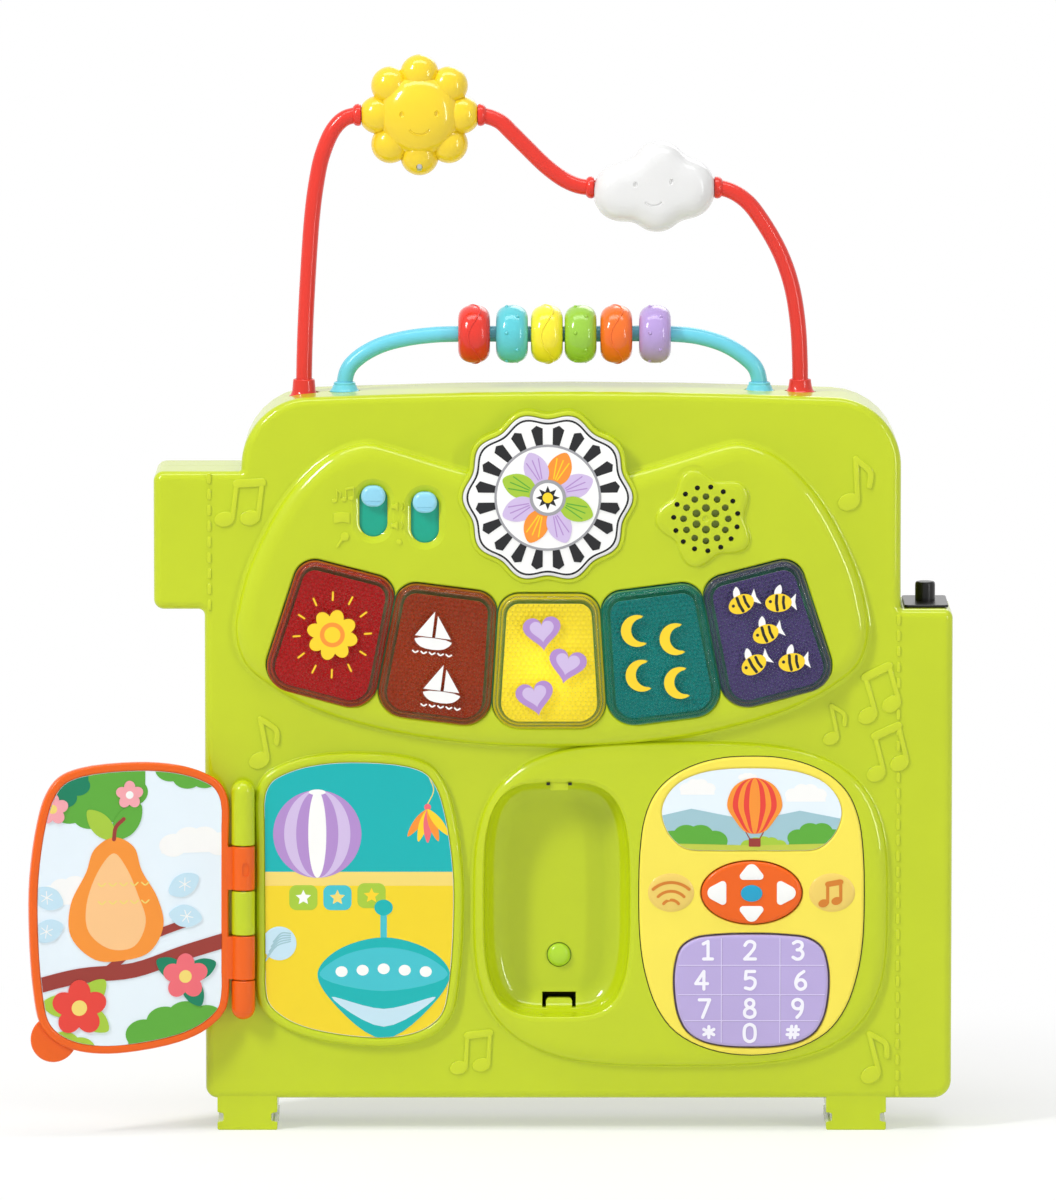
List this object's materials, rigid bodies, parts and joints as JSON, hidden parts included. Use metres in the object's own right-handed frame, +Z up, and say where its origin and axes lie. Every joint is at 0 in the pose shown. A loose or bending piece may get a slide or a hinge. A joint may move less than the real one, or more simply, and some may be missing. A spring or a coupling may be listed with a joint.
{
  "type": "musical activity center",
  "caption": "Upright baby music panel with light-up keys, a picture door, a toy telephone dial and cradle, and bead wires with a spinning sun and cloud on top",
  "frame": {"origin": "centre of the front housing's share of the left foot's sole, on the floor", "axes": "+Z up, +X to the viewer's right along the panel's width, -Y out of the front towards the child"},
  "size_m": [0.4595, 0.096, 0.5364],
  "materials": {
    "lime": "satin lime green, moulded",
    "red": "glossy red",
    "blue": "glossy light blue",
    "orange": "satin orange",
    "yellow": "glossy yellow",
    "white": "glossy white",
    "fascia_yellow": "satin yellow",
    "lilac": "soft lilac",
    "teal": "satin teal",
    "sky": "glossy pale blue",
    "black": "satin black",
    "battery_wrap": "printed foil wrap",
    "steel": "bright steel",
    "board_green": "circuit board",
    "card": "printed card under clear film",
    "red_lens": "clear tinted plastic",
    "red_plate": "prism-textured tinted plastic",
    "orange_lens": "clear tinted plastic",
    "orange_plate": "prism-textured tinted plastic",
    "yellow_lens": "clear tinted plastic",
    "yellow_plate": "prism-textured tinted plastic",
    "teal_lens": "clear tinted plastic",
    "teal_plate": "prism-textured tinted plastic",
    "purple_lens": "clear tinted plastic",
    "purple_plate": "prism-textured tinted plastic",
    "bead_red": "glossy with a printed pattern",
    "bead_blue": "glossy with a printed pattern",
    "bead_yellow": "glossy with a printed pattern",
    "bead_green": "glossy with a printed pattern",
    "bead_orange": "glossy with a printed pattern",
    "bead_lilac": "glossy with a printed pattern"
  },
  "bodies": {
    "panel": {"front_housing": "lime", "rear_housing": "lime", "phone_fascia": "fascia_yellow", "phone_picture_card": "card", "left_picture_card": "card", "badge_plate": "white", "door_hinge_cap": "orange", "door_hinge_pin": "steel", "red_wire": "red", "blue_wire": "blue", "red_ferrule_left": "red", "red_ferrule_right": "red", "blue_ferrule_left": "blue", "blue_ferrule_right": "blue", "hinge_peg": "black", "speaker_baffle": "lime", "speaker": "black", "main_circuit_board": "board_green", "key_contact_board": "board_green", "battery_door": "lime", "battery_door_screw": "steel", "battery_1": "battery_wrap", "battery_2": "battery_wrap", "battery_3": "battery_wrap", "housing_screw_1": "steel", "housing_screw_2": "steel", "housing_screw_3": "steel", "housing_screw_4": "steel", "housing_screw_5": "steel", "housing_screw_6": "steel"},
    "door": {"door_frame": "orange", "door_picture_card": "card"},
    "keypad_button": {"keypad": "lilac"},
    "direction_button": {"direction_pad": "orange"},
    "mode_switch": {"mode_switch_knob": "sky", "mode_switch_plate": "teal"},
    "volume_switch": {"volume_switch_knob": "sky", "volume_switch_plate": "teal"},
    "hook_button": {"hook_button": "lime"},
    "sun": {"sun_front": "yellow", "sun_back": "yellow", "sun_screw": "steel"},
    "cloud": {"cloud_front": "white", "cloud_back": "white"},
    "key_1": {"key_1_lens": "red_lens", "key_1_plate": "red_plate"},
    "key_2": {"key_2_lens": "orange_lens", "key_2_plate": "orange_plate"},
    "key_3": {"key_3_lens": "yellow_lens", "key_3_plate": "yellow_plate"},
    "key_4": {"key_4_lens": "teal_lens", "key_4_plate": "teal_plate"},
    "key_5": {"key_5_lens": "purple_lens", "key_5_plate": "purple_plate"},
    "bead_red": {"bead_red": "bead_red"},
    "bead_blue": {"bead_blue": "bead_blue"},
    "bead_yellow": {"bead_yellow": "bead_yellow"},
    "bead_green": {"bead_green": "bead_green"},
    "bead_orange": {"bead_orange": "bead_orange"},
    "bead_lilac": {"bead_lilac": "bead_lilac"}
  },
  "joints": [
    {"name": "door_hinge", "type": "hinge", "parent": "panel", "child": "door", "pos_m": [-0.0017, -0.0218, 0.12], "axis": [0, 0, 1], "range_deg": [-14, 166]},
    {"name": "key_1_press", "type": "slide", "parent": "panel", "child": "key_1", "axis": [0, 1, 0], "range_m": [0, 0.003], "stiffness_N_per_m": 400, "springref_m": -0.001},
    {"name": "key_2_press", "type": "slide", "parent": "panel", "child": "key_2", "axis": [0, 1, 0], "range_m": [0, 0.003], "stiffness_N_per_m": 400, "springref_m": -0.001},
    {"name": "key_3_press", "type": "slide", "parent": "panel", "child": "key_3", "axis": [0, 1, 0], "range_m": [0, 0.003], "stiffness_N_per_m": 400, "springref_m": -0.001},
    {"name": "key_4_press", "type": "slide", "parent": "panel", "child": "key_4", "axis": [0, 1, 0], "range_m": [0, 0.003], "stiffness_N_per_m": 400, "springref_m": -0.001},
    {"name": "key_5_press", "type": "slide", "parent": "panel", "child": "key_5", "axis": [0, 1, 0], "range_m": [0, 0.003], "stiffness_N_per_m": 400, "springref_m": -0.001},
    {"name": "keypad_press", "type": "slide", "parent": "panel", "child": "keypad_button", "axis": [0, 1, 0], "range_m": [0, 0.0012], "stiffness_N_per_m": 500, "springref_m": -0.001},
    {"name": "direction_press", "type": "slide", "parent": "panel", "child": "direction_button", "axis": [0, 1, 0], "range_m": [0, 0.0012], "stiffness_N_per_m": 500, "springref_m": -0.001},
    {"name": "hook_press", "type": "slide", "parent": "panel", "child": "hook_button", "axis": [0, 1, 0], "range_m": [0, 0.0025], "stiffness_N_per_m": 200, "springref_m": -0.001},
    {"name": "mode_slide", "type": "slide", "parent": "panel", "child": "mode_switch", "axis": [0, 0, -1], "range_m": [0, 0.013]},
    {"name": "volume_slide", "type": "slide", "parent": "panel", "child": "volume_switch", "axis": [0, 0, -1], "range_m": [0, 0.013]},
    {"name": "bead_red_spin", "type": "hinge", "parent": "panel", "child": "bead_red", "pos_m": [0.1134, 0.0144, 0.397], "axis": [1, 0, 0], "continuous": true},
    {"name": "bead_blue_spin", "type": "hinge", "parent": "panel", "child": "bead_blue", "pos_m": [0.1323, 0.0144, 0.397], "axis": [1, 0, 0], "continuous": true},
    {"name": "bead_yellow_spin", "type": "hinge", "parent": "panel", "child": "bead_yellow", "pos_m": [0.1497, 0.0144, 0.397], "axis": [1, 0, 0], "continuous": true},
    {"name": "bead_green_spin", "type": "hinge", "parent": "panel", "child": "bead_green", "pos_m": [0.1665, 0.0144, 0.397], "axis": [1, 0, 0], "continuous": true},
    {"name": "bead_orange_spin", "type": "hinge", "parent": "panel", "child": "bead_orange", "pos_m": [0.1843, 0.0144, 0.397], "axis": [1, 0, 0], "continuous": true},
    {"name": "bead_lilac_spin", "type": "hinge", "parent": "panel", "child": "bead_lilac", "pos_m": [0.2036, 0.0144, 0.397], "axis": [1, 0, 0], "continuous": true},
    {"name": "sun_spin", "type": "hinge", "parent": "panel", "child": "sun", "pos_m": [0.0863, 0.0144, 0.5065], "axis": [1, 0, 0], "continuous": true},
    {"name": "cloud_spin", "type": "hinge", "parent": "panel", "child": "cloud", "pos_m": [0.2031, 0.0144, 0.4703], "axis": [1, 0, 0], "continuous": true}
  ]
}
